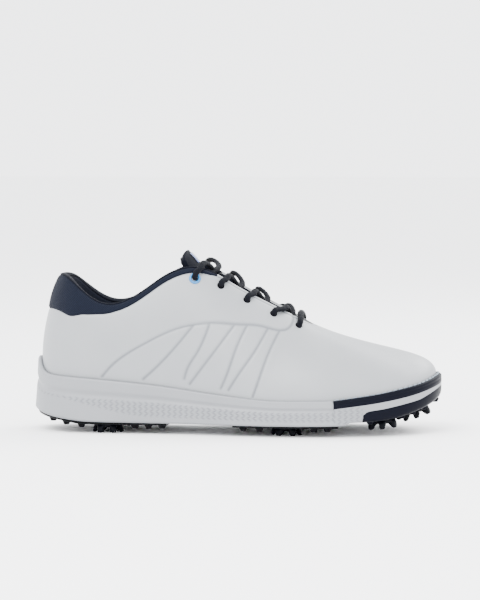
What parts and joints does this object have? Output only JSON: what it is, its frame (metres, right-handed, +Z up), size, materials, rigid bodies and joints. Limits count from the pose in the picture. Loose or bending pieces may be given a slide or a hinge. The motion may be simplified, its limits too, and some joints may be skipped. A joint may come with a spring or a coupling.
{
  "type": "golf shoe",
  "caption": "Low laced golf shoe for the right foot, white upper with navy collar, tongue and toe cup, on twist-out soft cleats.",
  "frame": {"origin": "centre of the bounding box in plan, on the ground under the cleats", "axes": "+X from heel to toe, +Y toward the inner (medial) side, +Z up"},
  "size_m": [0.3015, 0.1082, 0.1339],
  "materials": {
    "white_microfibre": "semi-smooth microfibre, slight sheen",
    "white_foam": "moulded foam, satin",
    "navy_mesh": "woven mesh",
    "navy_trim": "smooth textile",
    "toe_rubber": "satin rubber",
    "black_rubber": "satin rubber",
    "grey_thread": "twisted thread",
    "lining_textile": "knitted",
    "insole_textile": "brushed textile",
    "board": "fibre board",
    "foam": "open-cell foam",
    "stiffener": "matte sheet",
    "shank_plastic": "matte",
    "receptacle_plastic": "matte",
    "cleat_plastic": "satin urethane",
    "eyelet_blue": "glossy",
    "lace_navy": "braided, lightly waxed",
    "aglet": "glossy film",
    "tag": "woven tag"
  },
  "bodies": {
    "shoe": {"quarter_lateral": "white_microfibre", "quarter_medial": "white_microfibre", "vamp": "white_microfibre", "heel_collar_panel": "navy_mesh", "heel_counter": "stiffener", "toe_puff": "stiffener", "lining": "lining_textile", "collar_foam": "foam", "collar_binding": "navy_trim", "eyelet_lateral": "eyelet_blue", "eyelet_medial": "eyelet_blue", "lace": "lace_navy", "aglet_first": "aglet", "aglet_second": "aglet", "midsole": "white_foam", "outsole_heel_plate": "black_rubber", "outsole_forefoot_plate": "black_rubber", "outsole_toe_piece": "toe_rubber", "welt": "toe_rubber", "welt_stitching": "grey_thread", "insole_board": "board", "sockliner": "insole_textile", "shank": "shank_plastic", "receptacle_heel_lateral": "receptacle_plastic", "receptacle_heel_medial": "receptacle_plastic", "receptacle_forefoot_lateral": "receptacle_plastic", "receptacle_forefoot_medial": "receptacle_plastic", "receptacle_toe_lateral": "receptacle_plastic", "receptacle_toe_medial": "receptacle_plastic", "receptacle_toe_tip": "receptacle_plastic"},
    "tongue": {"tongue_cover": "navy_trim", "tongue_foam": "foam", "tongue_lining": "lining_textile", "tongue_tag": "tag", "tongue_binding": "navy_trim"},
    "cleat_heel_lateral": {"cleat_heel_lateral": "cleat_plastic"},
    "cleat_heel_medial": {"cleat_heel_medial": "cleat_plastic"},
    "cleat_forefoot_lateral": {"cleat_forefoot_lateral": "cleat_plastic"},
    "cleat_forefoot_medial": {"cleat_forefoot_medial": "cleat_plastic"},
    "cleat_toe_lateral": {"cleat_toe_lateral": "cleat_plastic"},
    "cleat_toe_medial": {"cleat_toe_medial": "cleat_plastic"},
    "cleat_toe_tip": {"cleat_toe_tip": "cleat_plastic"}
  },
  "joints": [
    {"name": "cleat_heel_lateral_twist", "type": "hinge", "parent": "shoe", "child": "cleat_heel_lateral", "pos_m": [-0.09315, -0.02024, 0.0066], "axis": [0, 0, -1], "range_deg": [0, 60]},
    {"name": "cleat_heel_medial_twist", "type": "hinge", "parent": "shoe", "child": "cleat_heel_medial", "pos_m": [-0.09315, 0.02076, 0.0066], "axis": [0, 0, -1], "range_deg": [0, 60]},
    {"name": "cleat_forefoot_lateral_twist", "type": "hinge", "parent": "shoe", "child": "cleat_forefoot_lateral", "pos_m": [0.03885, -0.03024, 0.0066], "axis": [0, 0, -1], "range_deg": [0, 60]},
    {"name": "cleat_forefoot_medial_twist", "type": "hinge", "parent": "shoe", "child": "cleat_forefoot_medial", "pos_m": [0.04185, 0.02776, 0.0066], "axis": [0, 0, -1], "range_deg": [0, 60]},
    {"name": "cleat_toe_lateral_twist", "type": "hinge", "parent": "shoe", "child": "cleat_toe_lateral", "pos_m": [0.10791, -0.02224, 0.01131], "axis": [0.1059, 0, -0.9944], "range_deg": [0, 60]},
    {"name": "cleat_toe_medial_twist", "type": "hinge", "parent": "shoe", "child": "cleat_toe_medial", "pos_m": [0.10992, 0.02876, 0.01154], "axis": [0.1238, 0, -0.9923], "range_deg": [0, 60]},
    {"name": "cleat_toe_tip_twist", "type": "hinge", "parent": "shoe", "child": "cleat_toe_tip", "pos_m": [0.13104, 0.00576, 0.01647], "axis": [0.3148, 0, -0.9492], "range_deg": [0, 60]},
    {"name": "tongue_press", "type": "hinge", "parent": "shoe", "child": "tongue", "pos_m": [0.05985, 0.00176, 0.068], "axis": [0, 1, 0], "range_deg": [-5, 0]}
  ]
}
